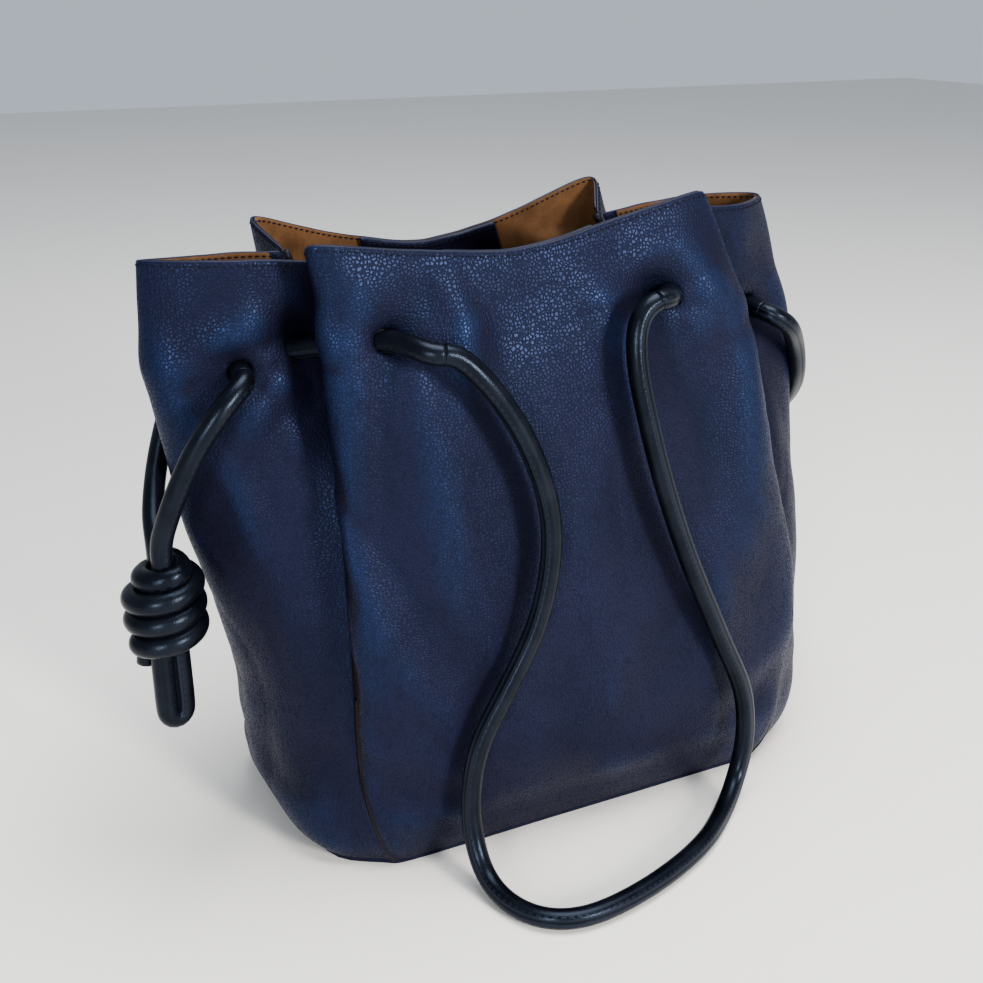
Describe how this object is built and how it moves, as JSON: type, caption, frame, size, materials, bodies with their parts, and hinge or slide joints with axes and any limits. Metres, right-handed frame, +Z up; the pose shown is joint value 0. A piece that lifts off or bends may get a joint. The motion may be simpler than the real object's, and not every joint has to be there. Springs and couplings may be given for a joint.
{
  "type": "drawstring bucket bag",
  "caption": "Soft leather bucket bag on a flat base, cinched by two rolled drawcords that form loop handles and hang in side knots.",
  "frame": {"origin": "middle of the base's underside", "axes": "+Z up out of the mouth, -Y out of the front wall, +X to the right along the base"},
  "size_m": [0.4057, 0.3037, 0.3084],
  "materials": {
    "leather": "pebbled, satin",
    "cord": "smooth, rolled, satin",
    "suede": "suede, matt",
    "piping": "smooth edge",
    "board": "matt",
    "magnet": "satin"
  },
  "bodies": {
    "bag": {"front_panel": "leather", "back_panel": "leather", "left_gusset": "leather", "right_gusset": "leather", "front_lining": "suede", "back_lining": "suede", "left_lining": "suede", "right_lining": "suede", "base_panel": "leather", "base_board": "board", "base_lining": "suede", "left_front_piping": "piping", "left_back_piping": "piping", "right_front_piping": "piping", "right_back_piping": "piping", "front_magnet_facing": "leather", "back_magnet_facing": "leather", "front_magnet": "magnet", "back_magnet": "magnet", "left_front_cord": "cord", "left_back_cord": "cord", "right_front_cord": "cord", "right_back_cord": "cord"},
    "front_loop": {"front_handle": "cord"},
    "back_loop": {"back_handle": "cord"},
    "left_knot": {"left_knot_front_strand": "cord", "left_knot_back_strand": "cord", "left_knot_wraps": "cord", "left_knot_loop": "cord", "left_knot_tail": "cord"},
    "right_knot": {"right_knot_front_strand": "cord", "right_knot_back_strand": "cord", "right_knot_wraps": "cord", "right_knot_loop": "cord", "right_knot_tail": "cord"}
  },
  "joints": [
    {"name": "front_loop_swing", "type": "hinge", "parent": "bag", "child": "front_loop", "pos_m": [-0.08096, -0.08402, 0.2555], "axis": [-0.9936, 0, -0.113], "range_deg": [0, 150]},
    {"name": "back_loop_swing", "type": "hinge", "parent": "bag", "child": "back_loop", "pos_m": [-0.08196, 0.07208, 0.2585], "axis": [0.9966, 0, 0.0829], "range_deg": [0, 150]},
    {"name": "left_knot_swing", "type": "hinge", "parent": "bag", "child": "left_knot", "pos_m": [-0.15296, -0.01047, 0.243], "axis": [0, 1, 0], "range_deg": [0, 60]},
    {"name": "right_knot_swing", "type": "hinge", "parent": "bag", "child": "right_knot", "pos_m": [0.1122, -0.00548, 0.243], "axis": [0, -1, 0], "range_deg": [0, 60]}
  ]
}
